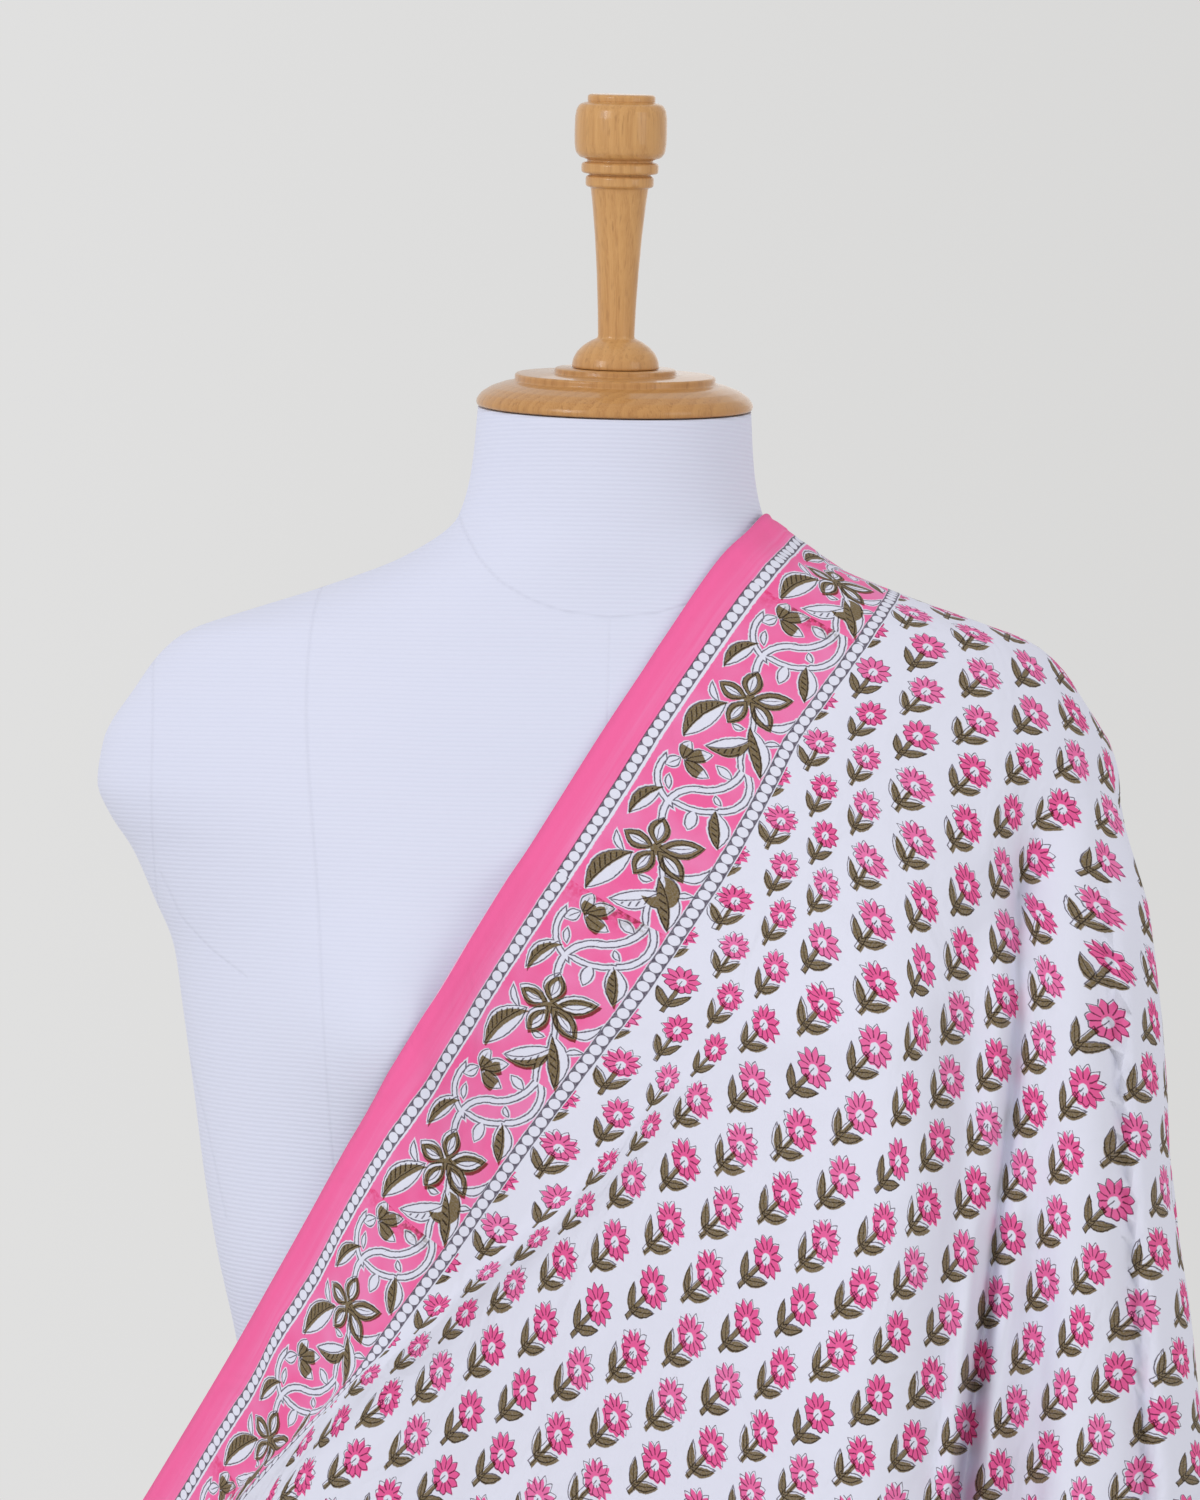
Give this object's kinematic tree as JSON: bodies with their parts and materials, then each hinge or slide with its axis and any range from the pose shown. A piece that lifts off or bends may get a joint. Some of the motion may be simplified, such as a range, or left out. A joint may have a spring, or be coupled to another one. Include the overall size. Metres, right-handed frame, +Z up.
{
  "type": "sarong on dress form",
  "caption": "Block-printed cotton sarong draped over one shoulder of a padded dress form, its bordered edge drawn straight down to the opposite hip, on a pole with a round flat base.",
  "frame": {"origin": "centre of the underside of the base, on the floor", "axes": "+Z up, the form faces -Y, the draped shoulder is at +X"},
  "size_m": [0.584, 0.3951, 1.662],
  "materials": {
    "printed_cotton": "plain weave, block printed in pink and olive",
    "jersey": "fine ribbed white jersey, matt",
    "varnished_wood": "turned and varnished, glossy",
    "enamelled_steel": "satin off-white enamel"
  },
  "bodies": {
    "root": {"sarong": "printed_cotton", "form_body": "jersey", "neck_cap": "varnished_wood", "finial": "varnished_wood", "pole": "enamelled_steel", "base": "enamelled_steel"}
  },
  "joints": []
}
